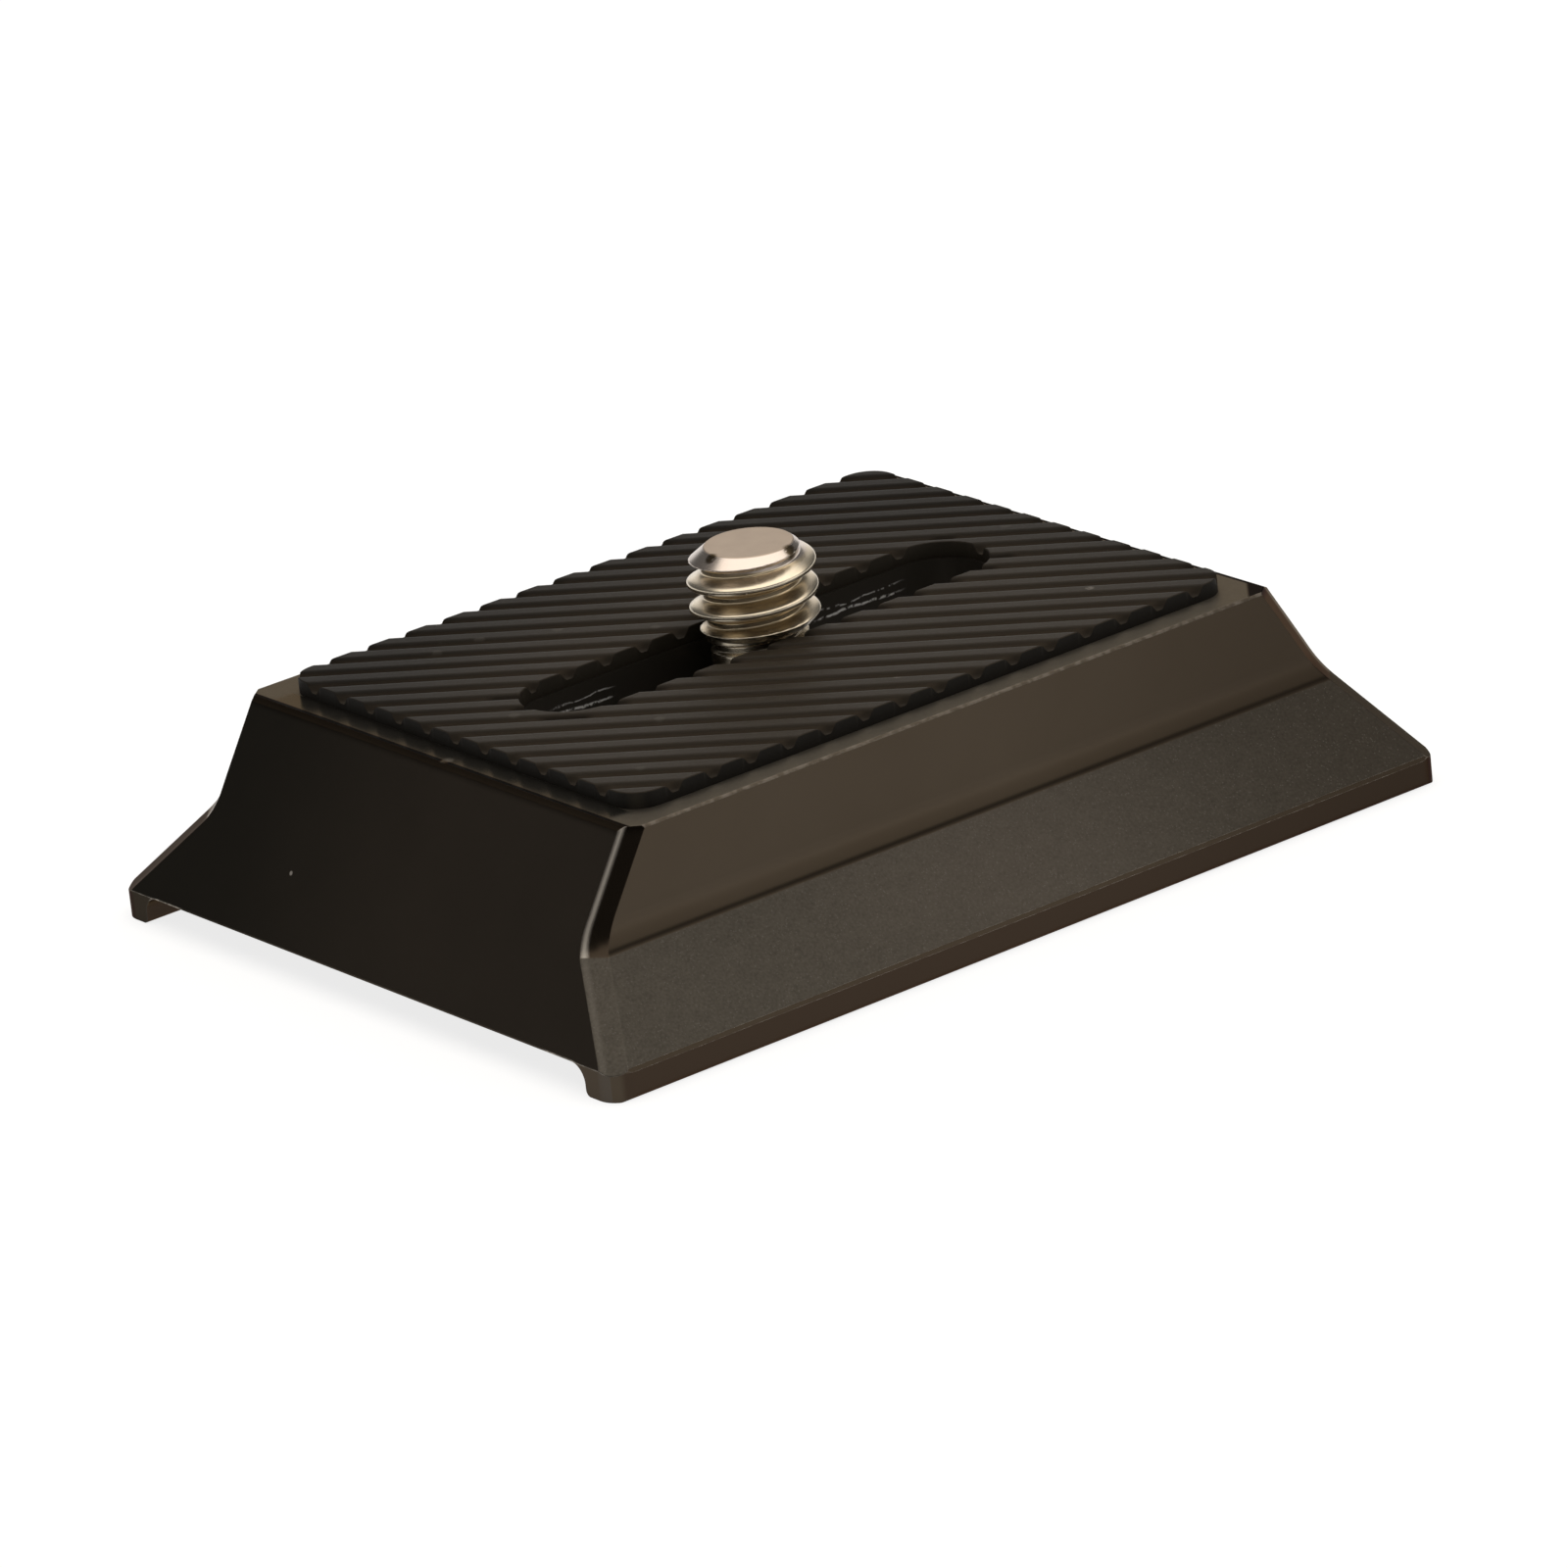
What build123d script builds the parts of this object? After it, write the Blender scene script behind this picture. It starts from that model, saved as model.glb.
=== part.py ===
from build123d import *
import os
from math import atan2, cos, degrees, floor, radians, sin, sqrt, tan

# Tripod quick release plate, in millimetres. X runs along the screw's slot, Z is up, and the origin is
# the middle of the surface that the two foot rails stand on.

# Plate: one machined piece of aluminium with a dovetail along both long sides
PLATE_LENGTH = 50.0
PLATE_WIDTH = 38.8
PLATE_HEIGHT = 10.5
DOVETAIL_REACH = 4.4
DOVETAIL_ANGLE = 45.0
FLANK_RADIUS = 2.0
END_LEAN = 31.6
END_SIDE_CHAMFER = 0.8
END_TOP_CHAMFER = 0.2
EDGE_BREAK = 0.12
RAIL_HEIGHT = 1.45
RAIL_WIDTH = 2.2
RAIL_CORNER_RADIUS = 1.2
RAIL_ROOT_RADIUS = 0.9
RAIL_EDGE_RADIUS = 0.3
LEDGE_THICKNESS = 3.0
SLOT_END_MARGIN = 6.0
POCKET_CLEARANCE = 1.0
POCKET_CORNER_RADIUS = 1.2
POCKET_RIM_CHAMFER = 0.3
# Largest share of the room at a corner that its rounding may take
ROOM_SHARE = 0.7

# Grip pad: rubber sheet with diagonal ribs
PAD_THICKNESS = 0.8
PAD_END_MARGIN = 1.5
PAD_SIDE_MARGIN = 1.5
PAD_CORNER_RADIUS = 1.5
PAD_SLOT_SETBACK = 0.15
PAD_EDGE_BEVEL = 0.2
RIB_PITCH = 1.58
RIB_ANGLE = -45.0
RIB_CREST = 0.75
RIB_DEPTH = 0.45
GROOVE_FLOOR = 0.18

# Camera screw: quarter inch thread, at the real outer diameter of such a thread
THREAD_DIAMETER = 6.22
THREAD_REACH = 4.15
THREAD_GAP = 0.3
THREAD_RUNOUT = 0.4
TIP_CHAMFER_LENGTH = 0.8
TIP_CHAMFER_WIDTH = 1.0
NECK_DIAMETER = 4.6
NECK_CLEARANCE = 0.15
HEAD_DIAMETER = 11.0
HEAD_HEIGHT = 3.2
HEAD_CHAMFER = 0.3
COIN_SLOT_WIDTH = 1.8
COIN_SLOT_DEPTH = 1.2

# Friction washer
WASHER_DIAMETER = 11.8
WASHER_THICKNESS = 0.8
WASHER_CLEARANCE = 0.1
RUNNING_CLEARANCE = 0.05

# Wire ring, its ends hooked into two holes in the side of the head
WIRE_DIAMETER = 1.6
RING_GAP = 0.6
RING_BEND_RADIUS = 1.2
PIN_DEPTH = 1.5
PIN_CLEARANCE = 0.06

# Places that follow from the sizes above
pad_base_z = PLATE_HEIGHT
pad_top_z = PLATE_HEIGHT + PAD_THICKNESS
ledge_z = PLATE_HEIGHT - LEDGE_THICKNESS
washer_top_z = ledge_z - RUNNING_CLEARANCE
head_top_z = washer_top_z - WASHER_THICKNESS - RUNNING_CLEARANCE
head_bottom_z = head_top_z - HEAD_HEIGHT
pivot_z = head_bottom_z + HEAD_HEIGHT / 2
thread_start_z = pad_top_z + THREAD_GAP
tip_z = pad_top_z + THREAD_REACH

end_run = (PLATE_HEIGHT - RAIL_HEIGHT) * tan(radians(END_LEAN))
top_length = PLATE_LENGTH - 2 * end_run
top_width = PLATE_WIDTH - 2 * DOVETAIL_REACH
flank_foot_z = RAIL_HEIGHT + DOVETAIL_REACH * tan(radians(DOVETAIL_ANGLE))
rail_inner_y = PLATE_WIDTH / 2 - RAIL_WIDTH

slot_length = top_length - 2 * SLOT_END_MARGIN
slot_width = NECK_DIAMETER + 2 * NECK_CLEARANCE
slot_reach = slot_length - slot_width
wire_radius = WIRE_DIAMETER / 2
ring_radius = HEAD_DIAMETER / 2 + RING_GAP + wire_radius
pocket_width = 2 * (ring_radius + wire_radius + POCKET_CLEARANCE)
pocket_length = slot_reach + pocket_width


def plate_section():
    """The extrusion's section across the plate: block, dovetail flanges and foot rails."""
    half_width = PLATE_WIDTH / 2
    half_top = top_width / 2
    half = [
        (rail_inner_y, RAIL_HEIGHT),
        (rail_inner_y, 0),
        (half_width, 0),
        (half_width, RAIL_HEIGHT),
        (half_top, flank_foot_z),
        (half_top, PLATE_HEIGHT),
    ]
    mirrored = [(-y, z) for y, z in reversed(half)]
    section = make_face(Polyline(*half, *mirrored, close=True))

    def corners(places):
        return [v for v in section.vertices() if (round(abs(v.X), 4), round(v.Y, 4)) in places]

    flank_room = (PLATE_HEIGHT - flank_foot_z) / tan(radians(DOVETAIL_ANGLE / 2))
    flank_feet = corners([(round(half_top, 4), round(flank_foot_z, 4))])
    section = fillet(flank_feet, min(FLANK_RADIUS, ROOM_SHARE * flank_room))
    roots = corners([(round(rail_inner_y, 4), round(RAIL_HEIGHT, 4))])
    section = fillet(roots, min(RAIL_ROOT_RADIUS, ROOM_SHARE * RAIL_HEIGHT))
    feet = corners([(round(rail_inner_y, 4), 0.0), (round(half_width, 4), 0.0)])
    foot_room = min((1 - ROOM_SHARE) * RAIL_HEIGHT, RAIL_WIDTH / 2)
    return fillet(feet, min(RAIL_EDGE_RADIUS, ROOM_SHARE * foot_room))


def plate_body():
    """Extruded section, cut to leaning ends, with chamfered ends, rounded rail ends, slot and pocket."""
    body = extrude(Plane.YZ * plate_section(), PLATE_LENGTH / 2, both=True)

    half_length = PLATE_LENGTH / 2
    half_top = top_length / 2
    side_view = Polyline(
        (-half_length, 0),
        (half_length, 0),
        (half_length, RAIL_HEIGHT),
        (half_top, PLATE_HEIGHT),
        (-half_top, PLATE_HEIGHT),
        (-half_length, RAIL_HEIGHT),
        close=True,
    )
    body &= extrude(Plane.XZ * make_face(side_view), PLATE_WIDTH, both=True)

    # Chamfers down both sides of each leaning end, and a narrower one along its top
    end_faces = [f for f in body.faces() if abs(f.center().X) > half_top]
    ends = [f for f in end_faces if f.center().Z > RAIL_HEIGHT]
    rims = [e for f in ends for e in f.edges() if e.center().Z > RAIL_HEIGHT + EDGE_BREAK]
    body = chamfer([e for e in rims if e.center().Z < PLATE_HEIGHT - EDGE_BREAK], END_SIDE_CHAMFER)
    end_tops = [e for e in body.edges().filter_by(Axis.Y) if e.center().Z > PLATE_HEIGHT - EDGE_BREAK]
    body = chamfer(end_tops, END_TOP_CHAMFER)

    # Broken edges along the top and along the two dovetail tips
    long_edges = body.edges().filter_by(Axis.X)
    top_edges = [e for e in long_edges if e.center().Z > PLATE_HEIGHT - EDGE_BREAK]
    tip_edges = [e for e in long_edges if abs(e.center().Z - RAIL_HEIGHT) < EDGE_BREAK]
    tip_edges = [e for e in tip_edges if abs(e.center().Y) > PLATE_WIDTH / 2 - EDGE_BREAK]
    body = chamfer(top_edges + tip_edges, EDGE_BREAK)

    # Rail ends are rounded in plan
    corners = Rectangle(PLATE_LENGTH, PLATE_WIDTH)
    corners -= RectangleRounded(PLATE_LENGTH, PLATE_WIDTH, RAIL_CORNER_RADIUS)
    body -= extrude(corners, RAIL_HEIGHT)

    # Pocket for the screw's head and ring, and the slot for its neck
    outline = RectangleRounded(pocket_length, pocket_width, POCKET_CORNER_RADIUS)
    pocket = extrude(outline, ledge_z)
    rim = Pos(0, 0, RAIL_HEIGHT) * offset(outline, POCKET_RIM_CHAMFER)
    pocket += extrude(rim, POCKET_RIM_CHAMFER, taper=45)
    body -= pocket
    body -= extrude(SlotOverall(slot_length, slot_width), PLATE_HEIGHT)
    return body


def grip_pad():
    """Rubber sheet with the screw's slot, its top edges bevelled and grooves cut across it diagonally."""
    pad_length = top_length - 2 * PAD_END_MARGIN
    pad_width = top_width - 2 * PAD_SIDE_MARGIN
    outline = RectangleRounded(pad_length, pad_width, PAD_CORNER_RADIUS)
    outline -= SlotOverall(slot_length + 2 * PAD_SLOT_SETBACK, slot_width + 2 * PAD_SLOT_SETBACK)
    pad = extrude(Pos(0, 0, pad_base_z) * outline, PAD_THICKNESS)
    pad = chamfer(pad.faces().sort_by(Axis.Z)[-1].edges(), PAD_EDGE_BEVEL)

    along = radians(RIB_ANGLE)
    across = Plane(
        origin=(0, 0, pad_top_z),
        x_dir=(-sin(along), cos(along), 0),
        z_dir=(cos(along), sin(along), 0),
    )
    half_mouth = (RIB_PITCH - RIB_CREST) / 2
    half_floor = GROOVE_FLOOR / 2
    half_reach = sqrt(pad_length**2 + pad_width**2) / 2
    count = floor(half_reach / RIB_PITCH)
    groove = make_face(
        Polyline(
            (-half_mouth, 0),
            (-half_floor, -RIB_DEPTH),
            (half_floor, -RIB_DEPTH),
            (half_mouth, 0),
            close=True,
        )
    )
    grooves = [Pos(i * RIB_PITCH, 0) * groove for i in range(-count, count + 1)]
    cutters = [extrude(across * g, half_reach, both=True) for g in grooves]
    return pad - cutters


def camera_screw():
    """Turned screw: threaded stud left plain, neck, and a round head with a coin slot and two ring holes."""
    thread_radius = THREAD_DIAMETER / 2
    neck_radius = NECK_DIAMETER / 2
    head_radius = HEAD_DIAMETER / 2
    turned = Polyline(
        (0, head_bottom_z),
        (head_radius - HEAD_CHAMFER, head_bottom_z),
        (head_radius, head_bottom_z + HEAD_CHAMFER),
        (head_radius, head_top_z - HEAD_CHAMFER),
        (head_radius - HEAD_CHAMFER, head_top_z),
        (neck_radius, head_top_z),
        (neck_radius, thread_start_z),
        (thread_radius, thread_start_z + THREAD_RUNOUT),
        (thread_radius, tip_z - TIP_CHAMFER_LENGTH),
        (thread_radius - TIP_CHAMFER_WIDTH, tip_z),
        (0, tip_z),
        close=True,
    )
    screw = revolve(Plane.XZ * make_face(turned), Axis.Z)
    screw -= Pos(0, 0, head_bottom_z) * Box(COIN_SLOT_WIDTH, HEAD_DIAMETER, 2 * COIN_SLOT_DEPTH)
    for side in (-1, 1):
        mouth = Plane(origin=(side * head_radius, 0, pivot_z), z_dir=(-side, 0, 0))
        hole = mouth * Circle(wire_radius + PIN_CLEARANCE)
        screw -= extrude(hole, PIN_DEPTH + PIN_CLEARANCE)
    return screw


def thrust_washer():
    """Thin nylon ring between the screw's head and the ledge of the slot."""
    ring = Circle(WASHER_DIAMETER / 2) - Circle(NECK_DIAMETER / 2 + WASHER_CLEARANCE)
    return extrude(Pos(0, 0, washer_top_z) * ring, -WASHER_THICKNESS)


def d_ring():
    """Wire bent round half of the head, with both ends turned in to the holes in the head's side."""
    bend_x = sqrt((ring_radius - RING_BEND_RADIUS) ** 2 - RING_BEND_RADIUS**2)
    bow_angle = degrees(atan2(RING_BEND_RADIUS, bend_x))
    pin_x = HEAD_DIAMETER / 2 - PIN_DEPTH
    pin = Line((pin_x, 0), (bend_x, 0))
    bend = CenterArc((bend_x, RING_BEND_RADIUS), RING_BEND_RADIUS, -90, 90 + bow_angle)
    bow = CenterArc((0, 0), ring_radius, bow_angle, 180 - 2 * bow_angle)
    far_bend = CenterArc((-bend_x, RING_BEND_RADIUS), RING_BEND_RADIUS, 180 - bow_angle, 90 + bow_angle)
    far_pin = Line((-bend_x, 0), (-pin_x, 0))
    path = Pos(0, 0, pivot_z) * Wire([pin, bend, bow, far_bend, far_pin])
    end = Plane(origin=(pin_x, 0, pivot_z), z_dir=(1, 0, 0))
    return sweep(end * Circle(wire_radius), path)


os.makedirs("parts", exist_ok=True)
export_step(plate_body(), "parts/plate_body.step")
export_step(grip_pad(), "parts/grip_pad.step")
export_step(camera_screw(), "parts/camera_screw.step")
export_step(thrust_washer(), "parts/thrust_washer.step")
export_step(d_ring(), "parts/d_ring.step")
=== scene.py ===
from math import ceil, cos, hypot, pi, radians, sin, sqrt, tan

import bmesh
import bpy
from mathutils import Matrix, Vector


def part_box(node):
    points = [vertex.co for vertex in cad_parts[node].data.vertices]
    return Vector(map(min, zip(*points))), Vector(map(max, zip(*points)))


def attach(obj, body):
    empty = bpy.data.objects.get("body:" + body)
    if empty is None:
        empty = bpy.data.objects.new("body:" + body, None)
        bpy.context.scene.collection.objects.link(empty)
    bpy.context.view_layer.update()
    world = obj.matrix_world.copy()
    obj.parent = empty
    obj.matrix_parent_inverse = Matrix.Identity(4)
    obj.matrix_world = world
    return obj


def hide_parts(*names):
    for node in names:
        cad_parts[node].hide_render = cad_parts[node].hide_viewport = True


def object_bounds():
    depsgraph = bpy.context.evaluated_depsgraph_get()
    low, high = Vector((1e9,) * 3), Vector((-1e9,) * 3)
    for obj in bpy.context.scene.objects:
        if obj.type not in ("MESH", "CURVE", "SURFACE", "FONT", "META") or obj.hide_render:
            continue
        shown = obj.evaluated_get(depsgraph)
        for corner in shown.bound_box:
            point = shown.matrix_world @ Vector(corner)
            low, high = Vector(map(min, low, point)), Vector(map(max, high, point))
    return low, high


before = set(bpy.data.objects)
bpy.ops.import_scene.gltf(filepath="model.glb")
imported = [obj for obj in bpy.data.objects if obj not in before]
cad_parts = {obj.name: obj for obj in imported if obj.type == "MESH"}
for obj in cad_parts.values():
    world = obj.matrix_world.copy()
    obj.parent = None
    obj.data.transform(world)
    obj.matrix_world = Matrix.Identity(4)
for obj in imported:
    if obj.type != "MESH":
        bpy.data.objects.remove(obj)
cad_low, cad_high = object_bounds()

# Plate: one length of extruded aluminium with milled leaning ends, a slot and a pocket for the camera screw.
# The dovetail slopes and the top are bead blasted, the chamfers round the ends are cut smooth, and it is all
# anodised a brownish black. The dye has worn off along the upper edges and where the screw rubs in the slot.
MM = 0.001
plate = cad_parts["plate_body"]
plate_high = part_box("plate_body")[1]


class Shade:
    """A node's output, for use in expressions: operators add Math nodes and node() adds any other node."""

    def __init__(self, tree, made=None, out=0):
        self.tree = tree
        self.made = made
        self.socket = made.outputs[out] if made and made.outputs else None

    def node(self, kind, settings=None, sockets=None, out=0):
        made = self.tree.nodes.new("ShaderNode" + kind)
        for name, value in (settings or {}).items():
            setattr(made, name, value)
        for name, value in (sockets or {}).items():
            if isinstance(value, Shade):
                self.tree.links.new(value.socket, made.inputs[name])
            else:
                made.inputs[name].default_value = value
        return Shade(self.tree, made, out)

    def out(self, name):
        return Shade(self.tree, self.made, name)

    def math(self, operation, first, second=0.0):
        return self.node("Math", {"operation": operation}, {0: first, 1: second})

    def __add__(self, other):
        return self.math("ADD", self, other)

    def __sub__(self, other):
        return self.math("SUBTRACT", self, other)

    def __rsub__(self, other):
        return self.math("SUBTRACT", other, self)

    def __mul__(self, other):
        return self.math("MULTIPLY", self, other)

    def __abs__(self):
        return self.math("ABSOLUTE", self)

    __radd__ = __add__
    __rmul__ = __mul__


def new_finish(name):
    """An empty material, and a Shade to add its nodes with."""
    made = bpy.data.materials.new(name)
    made.use_nodes = True
    made.node_tree.nodes.clear()
    return made, Shade(made.node_tree)


def surface(start, sockets):
    """Ends a finish with its shader, which takes these sockets."""
    start.node("OutputMaterial", {}, {"Surface": start.node("BsdfPrincipled", {}, sockets)})


def colour(red, green, blue):
    return (red, green, blue, 1.0)


def rise(value, low, high):
    """0 up to low, 1 from high on, and a smooth step between them."""
    sockets = {"Value": value, "From Min": low, "From Max": high}
    return value.node("MapRange", {"interpolation_type": "SMOOTHSTEP"}, sockets)


def near(value, middle, reach):
    """1 at the middle, falling to 0 at that reach on both sides."""
    return 1 - rise(abs(value - middle), 0.0, reach)


def mix(amount, first, second):
    """The first colour, or the second where the amount is 1."""
    return amount.node("Mix", {"data_type": "RGBA"}, {"Factor": amount, 6: first, 7: second}, 2)


def places(start):
    """Where a point of the piece is, in millimetres, as a vector and as its three parts."""
    metres = start.node("TexCoord", out="Object")
    place = start.node("VectorMath", {"operation": "SCALE"}, {0: metres, "Scale": 1 / MM})
    parts = start.node("SeparateXYZ", {}, {"Vector": place})
    return place, parts.out("X"), parts.out("Y"), parts.out("Z")


def cloud(start, place, scale, detail=2.0):
    """Soft noise from 0 to 1, with about this many cells to the millimetre."""
    return start.node("TexNoise", {}, {"Vector": place, "Scale": scale, "Detail": detail})


def specks(start, place, scale, share):
    """Small separate grains, 1 on this share of the cells and 0 elsewhere."""
    cells = start.node("TexVoronoi", {}, {"Vector": place, "Scale": scale})
    chance = start.node("SeparateColor", {}, {"Color": cells.out("Color")})
    return rise(chance, 1.0 - share, 1.0 - share / 2) * (1 - rise(cells, 0.25, 0.45))


def spot(start, place, middle, size):
    """1 within that distance of a point, in millimetres, fading out at its edge."""
    away = start.node("VectorMath", {"operation": "DISTANCE"}, {0: place, 1: middle}, "Value")
    return 1 - rise(away, size * 0.5, size)


# Sizes and places in millimetres: along and across from the plate's middle, up from what it stands on.
KINK_HEIGHT = 5.85
KINK_RADIUS = 2.0
END_LEAN = radians(31.6)
LIP_HEIGHT = 1.45
SLOT_WALL = 2.45
SLOT_END = 13.43
LEDGE = 7.5
POCKET_SIDE = 8.8
POCKET_END = 20.0
DARK_EDGE = 19.0
FAR_CORNER = 37.0
HALFWAY = 5.0
WORN_STRETCHES = ((-8.8, 2.6), (7.8, 4.0))
DEEP_SCORE = 9.38
LIGHT_SCORE = 9.76
END_SPECK = (-23.19, 7.18, 4.4)
END_NICK = (-18.95, -0.6, 10.5)
plate_top = plate_high.z / MM
plate_end = plate_high.x / MM
pad_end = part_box("grip_pad")[1].x / MM
pad_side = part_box("grip_pad")[1].y / MM
blast_top = KINK_HEIGHT - KINK_RADIUS * tan(pi / 8) * sin(pi / 4)

# Colours of the dye, in pairs where it varies, of the painted shade and light laid on it, and of the metal
# under it.
SMOOTH_DYES = colour(0.056, 0.043, 0.030), colour(0.068, 0.053, 0.038)
BLASTED_DYES = colour(0.044, 0.039, 0.032), colour(0.128, 0.114, 0.094)
TOP_DYES = colour(0.122, 0.109, 0.089), colour(0.156, 0.140, 0.115)
END_FACE_COLOURS = colour(0.068, 0.057, 0.046), colour(0.036, 0.034, 0.029)
LIGHTER_MIDDLE_COLOUR = colour(0.135, 0.112, 0.094)
LIP_PAINTED_SHADE = colour(0.043, 0.030, 0.021)
STRIP_DYE = colour(0.124, 0.117, 0.103)
NEAR_CHAMFER_PAINTED_SHADE = colour(0.036, 0.027, 0.019)
FAR_CHAMFER_PAINTED_LIGHT = colour(0.115, 0.106, 0.088)
BACK_CHAMFER_PAINTED_SHADE = colour(0.014, 0.012, 0.010)
FAR_END_PAINTED_SHADE = colour(0.018, 0.013, 0.009)
PAINTED_EDGE_SHADE = colour(0.012, 0.010, 0.008)
PAINTED_SHADE_LINE = colour(0.010, 0.008, 0.006)
SLOT_PAINTED_SHADE = colour(0.036, 0.032, 0.026)
SLOT_RIM_PAINTED_SHADE = colour(0.006, 0.005, 0.004)
GLINT = colour(0.30, 0.28, 0.25)
BARE_METAL_AND_HIGHLIGHT = colour(0.46, 0.42, 0.37)
SCORED_METAL = colour(0.85, 0.84, 0.82)

anodised, start = new_finish("black_anodised")
place, along, across, height = places(start)
facing = start.node("SeparateXYZ", {}, {"Vector": start.node("TexCoord", out="Normal")})
face_x, face_y, face_z = abs(facing.out("X")), abs(facing.out("Y")), facing.out("Z")

# Where each kind of surface is, told by the way it faces and by its place.
chamfers = rise(face_x, 0.12, 0.2) * (1 - rise(face_x, 0.76, 0.82)) * rise(face_z, 0.15, 0.25)
side_chamfers = chamfers * rise(face_y, 0.2, 0.3)
back_chamfers = side_chamfers * rise(across, -HALFWAY, HALFWAY)
near_half = 1 - rise(along, -HALFWAY, HALFWAY)
below_kink = 1 - rise(height, blast_top - 0.04, blast_top + 0.04)
near_chamfers = side_chamfers * (1 - below_kink) * near_half
far_chamfers = side_chamfers * (1 - near_half) * (1 - back_chamfers)
slopes = start.math("MAXIMUM", rise(face_y * face_z, 0.42, 0.46), chamfers)
blasted = slopes * below_kink * (1 - back_chamfers)
top = rise(face_z, 0.97, 0.99) * rise(height, plate_top - 0.3, plate_top - 0.2)
beyond_pad = rise(0 - along, pad_end - 0.03, pad_end + 0.03)
end_strip = top * beyond_pad * (1 - rise(abs(across), pad_side - 0.9, pad_side - 0.1))
lip = (1 - rise(height, LIP_HEIGHT - 0.15, LIP_HEIGHT - 0.05)) * rise(face_y, 0.8, 0.95)
kink_line = near(height, blast_top + 0.14, 0.16) * rise(face_y, 0.6, 0.7) * (1 - chamfers)
# Painted highlight: a bright line along the side chamfers just in from the end faces, fainter below the kink
# and on the far half.
behind_end = (plate_end - abs(along)) * cos(END_LEAN) - (height - LIP_HEIGHT) * sin(END_LEAN)
painted_highlight_line = near(behind_end, 0.12, 0.16) * side_chamfers * (0.9 - below_kink * 0.82)
painted_highlight_line = painted_highlight_line * (0.3 + near_half * 0.7)

# The dye is blotchy where the metal is smooth and grainy where it is blasted, with painted glints on the
# blasted slopes. Painted shade darkens it along some edges, and painted light lightens the far chamfers.
blotches = cloud(start, place, scale=0.22, detail=3.0)
grit = cloud(start, place, scale=7.0)
mottle = cloud(start, place, scale=1.2, detail=4.0)
glints = specks(start, place, scale=10.0, share=0.2) * blasted
blasted_dye = mix(grit * 0.7 + mottle * 0.3, *BLASTED_DYES)
# The blasted slopes are lighter toward the middle of the plate's length.
blasted_dye = mix(near(along, 0.0, 15.0) * 0.2, blasted_dye, LIGHTER_MIDDLE_COLOUR)
# Painted shade: the lip is darker, standing in for the shadowed floor it reflects.
dye_and_painted_light = mix(lip, mix(blotches, *SMOOTH_DYES), LIP_PAINTED_SHADE)
# Painted shade: a dark line along the kink where the wall meets the slope.
dye_and_painted_light = mix(kink_line * 0.75, dye_and_painted_light, PAINTED_SHADE_LINE)
dye_and_painted_light = mix(blasted, dye_and_painted_light, blasted_dye)
# Painted shade: darker toward the far end.
dye_and_painted_light = mix(rise(along, 0.0, 24.0) * 0.45, dye_and_painted_light, FAR_END_PAINTED_SHADE)
# The end faces are darker toward the back side.
dye_and_painted_light = mix(rise(face_x, 0.82, 0.84), dye_and_painted_light, mix(rise(across, -4.0, 16.0), *END_FACE_COLOURS))
dye_and_painted_light = mix(top, dye_and_painted_light, mix(grit, *TOP_DYES))
# Painted shade on the near and back chamfers, and painted light on the far ones.
dye_and_painted_light = mix(near_chamfers, dye_and_painted_light, NEAR_CHAMFER_PAINTED_SHADE)
dye_and_painted_light = mix(back_chamfers, dye_and_painted_light, BACK_CHAMFER_PAINTED_SHADE)
dye_and_painted_light = mix(end_strip, dye_and_painted_light, STRIP_DYE)
dye_and_painted_light = mix(far_chamfers * 0.4, dye_and_painted_light, FAR_CHAMFER_PAINTED_LIGHT)
# Painted shade: dark margins at both ends of the top.
dye_and_painted_light = mix(rise(abs(along), DARK_EDGE, DARK_EDGE + 0.08) * top, dye_and_painted_light, PAINTED_EDGE_SHADE)
# Painted shade: a dark line along the end faces' top edges.
dye_and_painted_light = mix(near(height, plate_top, 0.45) * rise(face_x, 0.3, 0.4) * 0.75, dye_and_painted_light, PAINTED_SHADE_LINE)
# Painted shade: a dark patch at the far end's front corner of the top.
dye_and_painted_light = mix(rise(along * 1.25 - across, FAR_CORNER, FAR_CORNER + 0.3) * top, dye_and_painted_light, PAINTED_EDGE_SHADE)
dye_and_painted_light = mix(glints * 0.15, dye_and_painted_light, GLINT)

# Edges where the dye has rubbed off.
rounded = start.node("Bevel", {"samples": 8}, {"Radius": 0.1 * MM})
flat = start.node("NewGeometry", out="Normal")
agreement = start.node("VectorMath", {"operation": "DOT_PRODUCT"}, {0: rounded, 1: flat}, "Value")
edges = rise(1 - agreement, 0.004, 0.05)
upper_break = rise(face_y * face_z, 0.3, 0.4) * rise(height, plate_top - 0.3, plate_top - 0.2)
lower_break = edges * rise(abs(across), 14.0, 14.6) * near(height, LIP_HEIGHT, 0.3)
patchy = 0.3 + rise(cloud(start, place, scale=2.2, detail=5.0), 0.4, 0.6) * 0.7
rubbed = (upper_break * 0.2 + lower_break * 0.9) * patchy * (1 - chamfers)

# The slot, whose walls the screw has scored in two stretches, and the pocket below it.
in_slot = (1 - rise(abs(across), SLOT_WALL + 0.3, SLOT_WALL + 0.4)) * rise(height, LEDGE, LEDGE + 0.2)
in_slot = in_slot * (1 - rise(abs(along), SLOT_END + 0.3, SLOT_END + 0.4))
slot_rim = in_slot * top
stretch = sum(near(along, middle, reach) for middle, reach in WORN_STRETCHES)
wobble = cloud(start, place, scale=0.7, detail=4.0) * 0.5 - 0.25
deep_score = near(height + wobble, DEEP_SCORE, 0.10)
light_score = near(height - wobble, LIGHT_SCORE, 0.07) * 0.7
scores = start.math("MINIMUM", deep_score + light_score, 1.0)
broken = rise(cloud(start, place, scale=3.5, detail=4.0), 0.40, 0.56)
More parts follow.
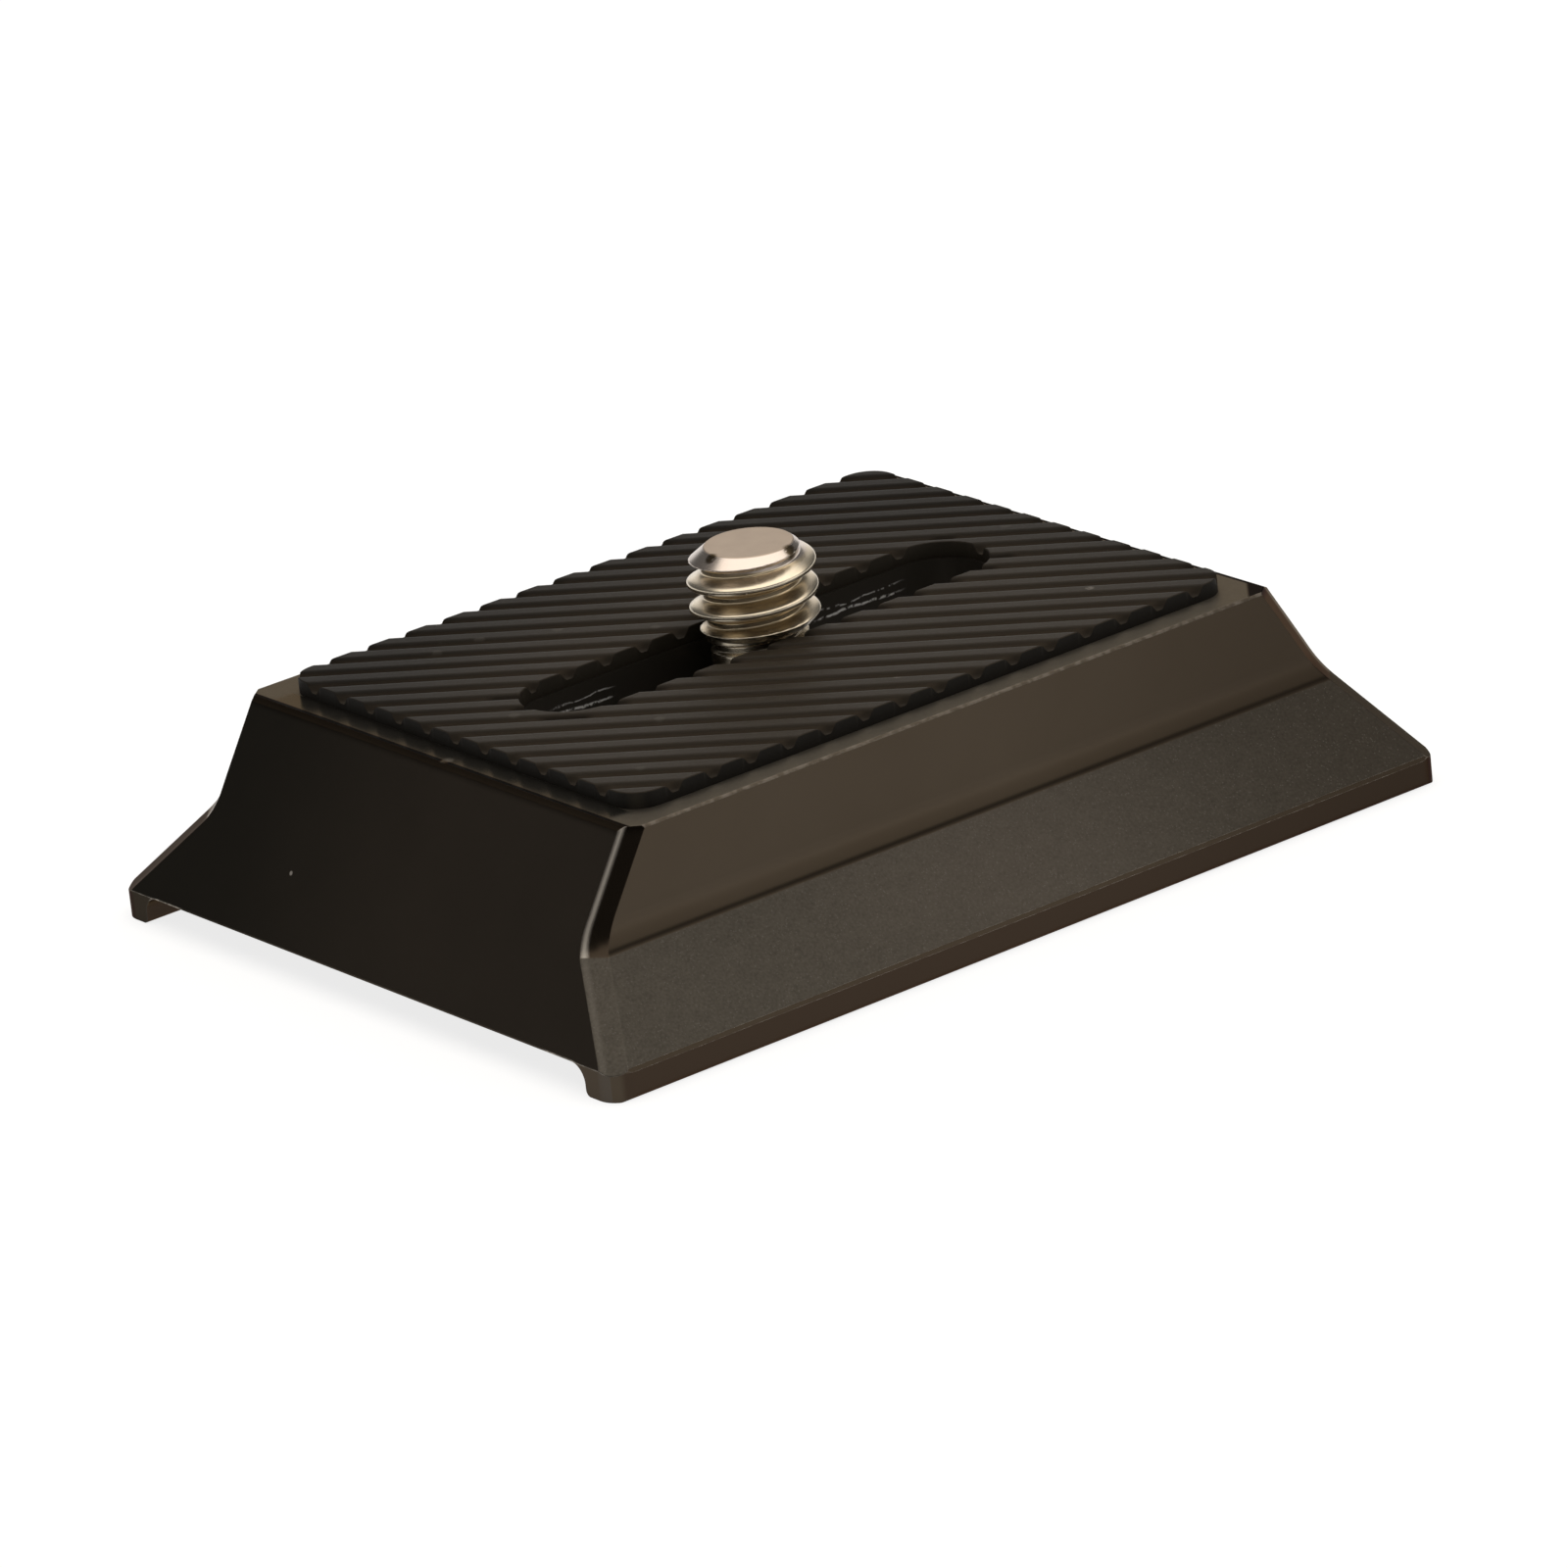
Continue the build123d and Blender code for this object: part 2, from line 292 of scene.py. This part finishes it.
scored = in_slot * rise(face_y, 0.8, 0.95) * rise(stretch, 0.1, 0.5) * scores * broken
in_pocket = (1 - rise(abs(across), POCKET_SIDE, POCKET_SIDE + 0.1)) * (1 - rise(height, LEDGE, LEDGE + 0.1))
in_pocket = in_pocket * (1 - rise(abs(along), POCKET_END, POCKET_END + 0.1))
in_pocket = in_pocket * rise(height, LIP_HEIGHT + 0.4, LIP_HEIGHT + 0.5)
# Painted shade: the slot's walls and the top round the slot are dark.
dye_and_painted_light = mix(in_slot, dye_and_painted_light, SLOT_PAINTED_SHADE)
dye_and_painted_light = mix(slot_rim, dye_and_painted_light, SLOT_RIM_PAINTED_SHADE)

# A bright speck and a nick on the near end, all the bare metal, and the painted highlight line on the
# chamfers.
speck = spot(start, place, END_SPECK, 0.14)
nick = spot(start, place, END_NICK, 0.42) * patchy * 0.4
bare_metal_and_highlight = start.math("MINIMUM", rubbed + painted_highlight_line + speck + nick, 1.0)
dye_and_painted_light = mix(bare_metal_and_highlight, dye_and_painted_light, BARE_METAL_AND_HIGHLIGHT)
dye_and_painted_light = mix(scored, dye_and_painted_light, SCORED_METAL)

# The highlight line and the slot are less metallic, as part of the painted highlight and painted shade.
metal = 0.9 - painted_highlight_line * 0.6 - in_slot * 0.65
roughness = 0.30 + blotches * 0.08 + blasted * 0.22 + top * 0.16 + slot_rim * 0.3
roughness = roughness - near_chamfers * 0.14 + bare_metal_and_highlight * 0.1 - end_strip * 0.3
texture = cloud(start, place, scale=11.0) * (0.2 + blasted * 0.8 + (top - end_strip) * 0.3)
inside = start.math("MAXIMUM", in_slot, in_pocket)
normal = start.node("Mix", {"data_type": "VECTOR"}, {"Factor": inside, 4: rounded, 5: flat}, 1)
relief = start.node(
    "Bump", {}, {"Strength": 0.25, "Distance": 0.02 * MM, "Height": texture, "Normal": normal}
)
sockets = {"Base Color": dye_and_painted_light, "Roughness": roughness, "Metallic": metal, "Normal": relief}
surface(start, {**sockets, "Specular Tint": colour(0.38, 0.31, 0.25)})
plate.material_slots[0].material = anodised

# Grip pad: a sheet of black rubber, moulded with diagonal ribs, rounded corners and a slot to match the
# plate's, and bonded on the plate's flat top. The ribs have flat crests and sloping sides, and they end
# in upright walls at the rim and round the slot.
pad_low, pad_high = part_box("grip_pad")
PAD_CORNER = 1.5 * MM
PAD_SLOT_LENGTH = 27.165 * MM
PAD_SLOT_WIDTH = 5.2 * MM
RIB_PITCH = 1.58 * MM
RIB_DEPTH = 0.45 * MM
RIB_CROWN = 0.015 * MM
GROOVE_FLOOR = 0.18 * MM
RIB_FLANK = 0.33 * MM
FLANK_STEPS = 6
CREST_STEPS = 3
RIM_RADIUS = 0.06 * MM
RIM_STEPS = 4
ARC_STEPS = 10
slot_reach = (PAD_SLOT_LENGTH - PAD_SLOT_WIDTH) / 2


def rounded_loop(shape, reach_x, reach_y, radius, height):
    """New points round a rounded rectangle, whose corners have their centres at these reaches."""
    half = []
    for quarter, side in enumerate((1, -1)):
        for step in range(ARC_STEPS + 1):
            turn = (quarter + step / ARC_STEPS) * pi / 2
            half.append((side * reach_x + radius * cos(turn), reach_y + radius * sin(turn)))
    return [shape.verts.new((side * x, side * y, height)) for side in (1, -1) for x, y in half]


def rim_loop(shape, inset, height):
    """The pad's outline, drawn in by this much."""
    return rounded_loop(
        shape, pad_high.x - PAD_CORNER, pad_high.y - PAD_CORNER, PAD_CORNER - inset, height
    )


def slot_loop(shape, inset, height):
    """The pad's slot, grown by this much."""
    return rounded_loop(shape, slot_reach, 0.0, PAD_SLOT_WIDTH / 2 + inset, height)


def join_loops(shape, first, second):
    """A band of faces between two loops of as many points."""
    for i in range(len(first)):
        after = (i + 1) % len(first)
        shape.faces.new((first[i], first[after], second[after], second[i]))


def rim_distance(x, y):
    """How far a point of the pad is from the outline or the slot, whichever is nearer."""
    over_x = abs(x) - (pad_high.x - PAD_CORNER)
    over_y = abs(y) - (pad_high.y - PAD_CORNER)
    beyond = hypot(max(over_x, 0.0), max(over_y, 0.0)) + min(max(over_x, over_y), 0.0)
    past_slot = hypot(max(abs(x) - slot_reach, 0.0), y) - PAD_SLOT_WIDTH / 2
    return max(min(PAD_CORNER - beyond, past_slot), 0.0)


def rib_height(x, y):
    """Height of the ribbed top, with the rib ends rounded off at the rim."""
    from_groove = abs(((x + y) / sqrt(2) + RIB_PITCH / 2) % RIB_PITCH - RIB_PITCH / 2)
    share = min(max((from_groove - GROOVE_FLOOR / 2) / RIB_FLANK, 0.0), 1.0)
    from_crest = 1 - from_groove / (RIB_PITCH / 2)
    depth = RIB_DEPTH * (1 - share * share * (3 - 2 * share)) + RIB_CROWN * from_crest * from_crest
    short = 1 - min(rim_distance(x, y) / RIM_RADIUS, 1.0)
    rim_depth = RIM_RADIUS * (1 - sqrt(1 - short * short))
    return pad_high.z - max(depth, rim_depth)


shape = bmesh.new()
insets = [RIM_RADIUS * (1 - cos(step / RIM_STEPS * pi / 2)) for step in range(RIM_STEPS + 1)]
insets.append(1.4 * RIM_RADIUS)
loops = [rim_loop(shape, 0.0, pad_low.z)]
loops += [rim_loop(shape, inset, pad_high.z) for inset in insets]
loops += [slot_loop(shape, inset, pad_high.z) for inset in reversed(insets)]
loops += [slot_loop(shape, 0.0, pad_low.z)]
for first, second in zip(loops, loops[1:] + loops[:1]):
    join_loops(shape, first, second)
bmesh.ops.remove_doubles(shape, verts=shape.verts[:], dist=0.001 * MM)

half_cuts = [GROOVE_FLOOR / 2 + RIB_FLANK * step / FLANK_STEPS for step in range(FLANK_STEPS + 1)]
crest_half = RIB_PITCH / 2 - half_cuts[-1]
half_cuts += [half_cuts[-1] + crest_half * step / CREST_STEPS for step in range(1, CREST_STEPS + 1)]
rib_cuts = half_cuts + [-cut for cut in half_cuts[:-1]]
ribs = ceil((pad_high.x + pad_high.y) / sqrt(2) / RIB_PITCH)
across_ribs = Vector((1, 1, 0)).normalized()
for rib in range(-ribs, ribs + 1):
    for cut in rib_cuts:
        everything = shape.verts[:] + shape.edges[:] + shape.faces[:]
        middle = across_ribs * (rib * RIB_PITCH + cut)
        bmesh.ops.bisect_plane(shape, geom=everything, dist=1e-7, plane_co=middle, plane_no=across_ribs)
for point in shape.verts:
    if point.co.z > pad_low.z + 0.01 * MM:
        point.co.z = rib_height(point.co.x, point.co.y)
bmesh.ops.recalc_face_normals(shape, faces=shape.faces[:])


def add_piece(name, shape, finish, crease):
    """A new object with this shape and finish, shaded smooth up to that angle between faces."""
    mesh = bpy.data.meshes.new(name)
    shape.to_mesh(mesh)
    shape.free()
    mesh.materials.append(finish)
    mesh.polygons.foreach_set("use_smooth", [True] * len(mesh.polygons))
    mesh.set_sharp_from_angle(angle=crease)
    piece = bpy.data.objects.new(name, mesh)
    bpy.context.scene.collection.objects.link(piece)
    return piece


# The crests are black, greyed round one place on the top, and the ribs' lower sides are lightened with
# painted light.
CREST_BLACKS = colour(0.0105, 0.0081, 0.0056), colour(0.0305, 0.0236, 0.0163)
PAINTED_LIGHT_FLANK_BLACKS = colour(0.036, 0.0275, 0.0188), colour(0.062, 0.0475, 0.0325)
WALL_PAINTED_SHADES = colour(0.009, 0.0074, 0.0052), colour(0.022, 0.018, 0.0125)
PLAIN_SIDE_BLACK = colour(0.024, 0.0182, 0.012)
DUST = colour(0.22, 0.20, 0.17)
GREYED_MIDDLE = (-2.0, -10.0, 11.3)
GREYED_REACH = 26.0
DUST_FLECKS = ((12.75, -9.35, 11.3), (-0.49, -11.14, 11.3))
groove_height = (pad_high.z - RIB_DEPTH) / MM

rubber, start = new_finish("black_rubber")
place, along, across, height = places(start)
raised = rise(height, groove_height + 0.25, groove_height + 0.42)
grain = cloud(start, place, scale=9.0, detail=3.0)
smears = cloud(start, place, scale=0.35, detail=3.0)
greyed = spot(start, place, GREYED_MIDDLE, GREYED_REACH) + smears * 0.15 - 0.075
off_rim = start.math("MINIMUM", pad_high.x / MM - abs(along), pad_high.y / MM - abs(across))
past_slot_side = abs(across) - PAD_SLOT_WIDTH / 2 / MM
past_slot_end = abs(along) - PAD_SLOT_LENGTH / 2 / MM
off_slot = start.math("MAXIMUM", past_slot_side, past_slot_end)
off_edges = start.math("MINIMUM", off_rim, off_slot)
# Painted light: the ribs' lower sides, above the groove floors and away from the rim and the slot, are
# lighter.
painted_light_flanks = rise(off_edges, 0.1, 0.6) * rise(height, groove_height, groove_height + 0.1)
side_black = mix(painted_light_flanks, PLAIN_SIDE_BLACK, mix(greyed, *PAINTED_LIGHT_FLANK_BLACKS))
shown = mix(raised, side_black, mix(greyed, *CREST_BLACKS))
facing_up = start.node("SeparateXYZ", {}, {"Vector": start.node("TexCoord", out="Normal")}).out("Z")
# Painted shade: the upright walls are darker, most of all at the outer rim.
painted_wall_shade = mix(rise(off_rim, 0.1, 0.4), *WALL_PAINTED_SHADES)
shown = mix(rise(facing_up, 0.1, 0.35), painted_wall_shade, shown)
dust = specks(start, place, scale=1.3, share=0.02) * raised
fluff = sum(spot(start, place, fleck, 0.28) for fleck in DUST_FLECKS) * rise(grain, 0.3, 0.6)
shown = mix(start.math("MINIMUM", dust * 0.1 + fluff * 0.5, 1.0), shown, DUST)
roughness = 0.46 + grain * 0.12 + smears * 0.08
relief = start.node("Bump", {}, {"Strength": 0.35, "Distance": 0.02 * MM, "Height": grain})
surface(start, {"Base Color": shown, "Roughness": roughness, "Specular IOR Level": 0.12, "Normal": relief})

pad = add_piece("ribbed_grip_pad", shape, rubber, radians(50))
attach(pad, "plate")
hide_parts("grip_pad")

# Camera screw: turned from steel bar and polished, with a coarse quarter inch thread on its stud, a plain
# neck that runs in the plate's slot, and a round head below with a coin slot and two holes for the ring.
screw_low, screw_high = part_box("camera_screw")
PITCH = 1.27 * MM
THREAD_RADIUS = 3.11 * MM
ROOT_RADIUS = 2.36 * MM
CREST_HEIGHT = 13.239 * MM
CREST_SHARE = 0.05
FLANK_SHARE = 0.36
NECK_TOP = 9.4 * MM
RUNOUT_FOOT = 10.4 * MM
RUNOUT_START = 11.3 * MM
RUNOUT_END = 11.9 * MM
RUNOUT_RADIUS = 2.55 * MM
NECK_ROOT = 2.1 * MM
TIP_LENGTH = 0.8 * MM
TIP_WIDTH = 1.0 * MM
NECK_RADIUS = 2.3 * MM
HEAD_HEIGHT = 3.2 * MM
HEAD_CHAMFER = 0.3 * MM
COIN_SLOT_WIDTH = 1.8 * MM
COIN_SLOT_DEPTH = 1.2 * MM
HOLE_RADIUS = 0.86 * MM
HOLE_DEPTH = 1.56 * MM
AROUND = 144
ROWS_PER_PITCH = 40
head_radius = screw_high.x
head_top = screw_low.z + HEAD_HEIGHT


def thread_radius(turn, height):
    """Radius of the stud there: right-hand thread, shallower down to the neck, and the chamfered tip."""
    climb = (height - CREST_HEIGHT) / PITCH - turn / (2 * pi)
    from_crest = abs((climb + 0.5) % 1.0 - 0.5)
    share = min(max((from_crest - CREST_SHARE) / FLANK_SHARE, 0.0), 1.0)
    fall = share * share * (3 - 2 * share)
    below = min(max((RUNOUT_END - height) / (RUNOUT_END - RUNOUT_START), 0.0), 1.0)
    root = ROOT_RADIUS + (NECK_ROOT - ROOT_RADIUS) * below
    thread = THREAD_RADIUS - (THREAD_RADIUS - root) * fall
    if height < RUNOUT_START:
        climbed = max(height - RUNOUT_FOOT, 0.0) / (RUNOUT_START - RUNOUT_FOOT)
        runout = NECK_RADIUS + (RUNOUT_RADIUS - NECK_RADIUS) * climbed
    else:
        climbed = (height - RUNOUT_START) / (RUNOUT_END - RUNOUT_START)
        runout = RUNOUT_RADIUS + (THREAD_RADIUS - RUNOUT_RADIUS) * climbed
    tip = THREAD_RADIUS - TIP_WIDTH * (1 - (screw_high.z - height) / TIP_LENGTH)
    return min(thread, runout, tip)


def turned_ring(shape, height, radius_at):
    """Points round the screw's axis at one height."""
    turns = [2 * pi * i / AROUND for i in range(AROUND)]
    return [
        shape.verts.new((radius_at(turn) * cos(turn), radius_at(turn) * sin(turn), height)) for turn in turns
    ]


shape = bmesh.new()
turned_steps = (
    (head_radius - HEAD_CHAMFER, screw_low.z),
    (head_radius, screw_low.z + HEAD_CHAMFER),
    (head_radius, head_top - HEAD_CHAMFER),
    (head_radius - HEAD_CHAMFER, head_top),
    (NECK_RADIUS, head_top),
)
loops = [turned_ring(shape, height, lambda turn: radius) for radius, height in turned_steps]
thread_rows = ceil((screw_high.z - NECK_TOP) / PITCH * ROWS_PER_PITCH)
for row in range(thread_rows + 1):
    row_height = NECK_TOP + (screw_high.z - NECK_TOP) * row / thread_rows
    loops.append(turned_ring(shape, row_height, lambda turn: thread_radius(turn, row_height)))
for first, second in zip(loops, loops[1:]):
    join_loops(shape, first, second)
shape.faces.new(loops[0][::-1])
shape.faces.new(loops[-1])

# Polished steel with a warm cast, stained on the tip's cone, with painted shade making the thread's roots
# browner.
# The flat end and the head are faced on the lathe and less bright.
STUD_STEELS = colour(0.76, 0.67, 0.53), colour(0.67, 0.58, 0.44)
FLAT_STEELS = colour(0.50, 0.405, 0.322), colour(0.42, 0.34, 0.272)
HEAD_STEELS = colour(0.58, 0.55, 0.51), colour(0.46, 0.435, 0.40)
TIP_STEEL = colour(0.68, 0.59, 0.52)
ROOT_PAINTED_SHADE = colour(0.44, 0.34, 0.205)
STAIN = colour(0.13, 0.095, 0.055)
TIP_STAINS = (((0.83, -2.23, 15.23), 0.55), ((-2.25, 0.0, 15.3), 0.4))
root_reach = ROOT_RADIUS / MM
tip_foot = (screw_high.z - TIP_LENGTH) / MM

steel, start = new_finish("turned_steel")
place, along, across, height = places(start)
from_axis = start.math("SQRT", along * along + across * across)
stud = rise(height, RUNOUT_START / MM - 0.1, RUNOUT_START / MM + 0.1)
tip = rise(height, tip_foot, tip_foot + 0.1)
in_root = stud * (1 - rise(from_axis, root_reach + 0.02, root_reach + 0.4)) * (1 - tip)
head = 1 - rise(height, head_top / MM - 0.05, head_top / MM + 0.05)
flat_end = rise(height, screw_high.z / MM - 0.06, screw_high.z / MM - 0.02)
turned_place = start.node("CombineXYZ", {}, {"X": from_axis, "Y": height})
tool_lines = cloud(start, turned_place, scale=14.0, detail=3.0) * (1 - stud * 0.75)
facing_rings = cloud(start, turned_place, scale=5.0, detail=4.0)
cloudy = cloud(start, place, scale=0.9, detail=4.0)
shown = mix(tip, mix(cloudy, *STUD_STEELS), TIP_STEEL)
shown = mix(flat_end, shown, mix(cloudy, *FLAT_STEELS))
shown = mix(head, shown, mix(facing_rings, *HEAD_STEELS))
# Painted shade: the thread's roots are browner.
shown = mix(in_root * 0.8, shown, ROOT_PAINTED_SHADE)
stained = sum(spot(start, place, middle, size) for middle, size in TIP_STAINS)
stained = stained * rise(cloud(start, place, scale=4.0, detail=3.0), 0.3, 0.45)
shown = mix(start.math("MINIMUM", stained, 1.0), shown, STAIN)
roughness = 0.19 + tool_lines * 0.08 + cloudy * 0.06 + stud * 0.03 + flat_end * 0.24
rounded = start.node("Bevel", {"samples": 8}, {"Radius": 0.08 * MM})
relief = start.node(
    "Bump", {}, {"Strength": 0.15, "Distance": 0.01 * MM, "Height": tool_lines, "Normal": rounded}
)
surface(start, {"Base Color": shown, "Roughness": roughness, "Metallic": 1.0, "Normal": relief})

screw = add_piece("threaded_camera_screw", shape, steel, radians(35))

cutters = bmesh.new()
slot_size = Matrix.Diagonal((COIN_SLOT_WIDTH, 3 * head_radius, 2 * COIN_SLOT_DEPTH, 1.0))
bmesh.ops.create_cube(cutters, size=1.0, matrix=Matrix.Translation((0, 0, screw_low.z)) @ slot_size)
for side in (-1, 1):
    mouth = Matrix.Translation((side * head_radius, 0, screw_low.z + HEAD_HEIGHT / 2))
    bmesh.ops.create_cone(
        cutters,
        cap_ends=True,
        segments=32,
        radius1=HOLE_RADIUS,
        radius2=HOLE_RADIUS,
        depth=2 * HOLE_DEPTH,
        matrix=mouth @ Matrix.Rotation(pi / 2, 4, "Y"),
    )
cutter = add_piece("screw_cutters", cutters, steel, radians(35))
cut = screw.modifiers.new("slot_and_holes", "BOOLEAN")
cut.operation = "DIFFERENCE"
cut.solver = "EXACT"
cut.object = cutter
cut_mesh = bpy.data.meshes.new_from_object(screw.evaluated_get(bpy.context.evaluated_depsgraph_get()))
screw.modifiers.clear()
screw.data = cut_mesh
cut_mesh.set_sharp_from_angle(angle=radians(35))
bpy.data.objects.remove(cutter)
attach(screw, "screw")
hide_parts("camera_screw")

# Friction washer: a thin ring punched from black nylon sheet, loose on the screw's neck between its head
# and the ledge of the slot. The screw's head has polished faint rings on it.
NYLON_BLACKS = colour(0.022, 0.022, 0.022), colour(0.040, 0.039, 0.038)

nylon, start = new_finish("black_nylon")
place, along, across, height = places(start)
from_axis = start.math("SQRT", along * along + across * across)
rings = cloud(start, start.node("CombineXYZ", {}, {"X": from_axis}), scale=5.0, detail=3.0)
grain = cloud(start, place, scale=6.0, detail=3.0)
shown = mix(grain, *NYLON_BLACKS)
relief = start.node("Bump", {}, {"Strength": 0.3, "Distance": 0.01 * MM, "Height": grain})
surface(start, {"Base Color": shown, "Roughness": 0.35 + rings * 0.25, "Normal": relief})
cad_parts["thrust_washer"].material_slots[0].material = nylon

# Wire ring: drawn steel wire bent round half of the screw's head, with both ends turned in to the holes in
# the head's side. It folds out to turn the screw by hand, and its outer curve is scuffed by use.
WIRE_STEELS = colour(0.60, 0.57, 0.53), colour(0.44, 0.41, 0.37)
DRAWN_OUT = 0.6
DRAWN_FINE = 8.0

wire, start = new_finish("drawn_wire")
place, along, across, height = places(start)
turn = start.math("ARCTAN2", across, along)
from_axis = start.math("SQRT", along * along + across * across)
drawn = start.node(
    "CombineXYZ", {}, {"X": turn * DRAWN_OUT, "Y": from_axis * DRAWN_FINE, "Z": height * DRAWN_FINE}
)
draw_lines = cloud(start, drawn, scale=1.5, detail=3.0)
scuffs = rise(cloud(start, place, scale=1.1, detail=4.0), 0.5, 0.7)
shown = mix(scuffs, *WIRE_STEELS)
relief = start.node("Bump", {}, {"Strength": 0.2, "Distance": 0.01 * MM, "Height": draw_lines})
roughness = 0.2 + draw_lines * 0.14 + scuffs * 0.12
surface(start, {"Base Color": shown, "Roughness": roughness, "Metallic": 1.0, "Normal": relief})
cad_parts["d_ring"].material_slots[0].material = wire

# Studio: a plain white floor, which the camera and shiny surfaces see as white and which keeps the soft
# shadow. Below the plate's pocket it has only the light that reaches it there. Round it are a dim surround
# with a white horizon, a warm softbox overhead and a card low down on two sides.
FLOOR_HALF = 8.0
SHADED_SIDE = 13.0
FLOOR_WHITE = colour(0.8, 0.8, 0.8)
FLOOR_SHADED = colour(0.3, 0.3, 0.3)
PURE_WHITE = colour(1.0, 1.0, 1.0)
DIM = colour(0.1, 0.1, 0.1)
WARM_WHITE = (1.0, 0.95, 0.88)
floor_mesh = bpy.data.meshes.new("floor")
corners = [(-1, -1), (1, -1), (1, 1), (-1, 1)]
floor_mesh.from_pydata([(x * FLOOR_HALF, y * FLOOR_HALF, cad_low.z) for x, y in corners], [], [(0, 1, 2, 3)])
floor = bpy.data.objects.new("floor", floor_mesh)
bpy.context.scene.collection.objects.link(floor)

white, start = new_finish("white_floor")
path = start.node("LightPath")
place, along, across, height = places(start)
under_pocket = 1 - rise(abs(along), POCKET_END - 2.0, POCKET_END)
under_pocket = under_pocket * (1 - rise(abs(across), SHADED_SIDE, SHADED_SIDE + 3.0))
seen = path.out("Is Camera Ray") * (1 - under_pocket)
seen = seen + path.out("Is Glossy Ray") + path.out("Is Transmission Ray")
plain = start.node("BsdfDiffuse", {}, {"Color": FLOOR_WHITE})
shaded = start.node("BsdfDiffuse", {}, {"Color": FLOOR_SHADED})
glow = start.node("Emission", {}, {"Color": PURE_WHITE, "Strength": 0.8})
lit = start.node("AddShader", {}, {0: shaded, 1: glow})
above = start.node("MixShader", {}, {0: start.math("MINIMUM", seen, 1.0), 1: plain, 2: lit})
below = start.node("BsdfTransparent")
from_below = start.node("NewGeometry", out="Backfacing")
both = start.node("MixShader", {}, {0: from_below, 1: above, 2: below})
start.node("OutputMaterial", {}, {"Surface": both})
floor_mesh.materials.append(white)

world = bpy.data.worlds.new("dim_surround")
world.use_nodes = True
world.node_tree.nodes.clear()
start = Shade(world.node_tree)
upward = start.node("SeparateXYZ", {}, {"Vector": start.node("TexCoord", out="Generated")}).out("Z")
surround = mix(rise(upward, 0.06, 0.2), PURE_WHITE, DIM)
start.node("OutputWorld", {}, {"Surface": start.node("Background", {}, {"Color": surround})})
bpy.context.scene.world = world
bpy.context.scene.view_settings.view_transform = "Standard"


def softbox(name, place, width, depth, radiance):
    """A flat lamp in that place, in metres, facing the object."""
    lamp = bpy.data.lights.new(name, "AREA")
    lamp.shape = "RECTANGLE"
    lamp.size = width
    lamp.size_y = depth
    lamp.energy = radiance * pi * width * depth
    lamp.color = WARM_WHITE
    made = bpy.data.objects.new(name, lamp)
    made.location = place
    made.rotation_euler = Vector(place).to_track_quat("Z", "Y").to_euler()
    made.visible_camera = False
    bpy.context.scene.collection.objects.link(made)


softbox("overhead_softbox", (0.05, 0.02, 0.6), width=0.9, depth=0.95, radiance=1.55)
softbox("back_card", (0.45, 0.60, 0.28), width=0.5, depth=0.4, radiance=0.78)
softbox("front_card", (0.50, -0.65, 0.33), width=0.6, depth=0.6, radiance=0.85)

# Camera: a long lens, held a little aslant, above one corner of the plate. It is turned from the front long
# side, raised and rolled, and slid to put the plate where the photo has it.
AZIMUTH = radians(-36.459)
ELEVATION = radians(20.36)
ROLL = radians(-6.24)
DISTANCE = 467.01 * MM
SLIDE_RIGHT = 0.114 * MM
SLIDE_UP = 3.008 * MM
LENS = 225.0
SENSOR = 36.0
back = Vector((sin(AZIMUTH) * cos(ELEVATION), -cos(AZIMUTH) * cos(ELEVATION), sin(ELEVATION)))
level = Vector((cos(AZIMUTH), sin(AZIMUTH), 0.0))
upright = back.cross(level)
right = level * cos(ROLL) + upright * sin(ROLL)
up = upright * cos(ROLL) - level * sin(ROLL)
lens = bpy.data.cameras.new("camera")
lens.lens = LENS
lens.sensor_width = SENSOR
lens.clip_start = 0.05
lens.clip_end = 50.0
camera = bpy.data.objects.new("camera", lens)
camera.matrix_world = Matrix.Translation(
    back * DISTANCE + right * SLIDE_RIGHT + up * SLIDE_UP
) @ Matrix((right, up, back)).transposed().to_4x4()
bpy.context.scene.collection.objects.link(camera)
bpy.context.scene.camera = camera
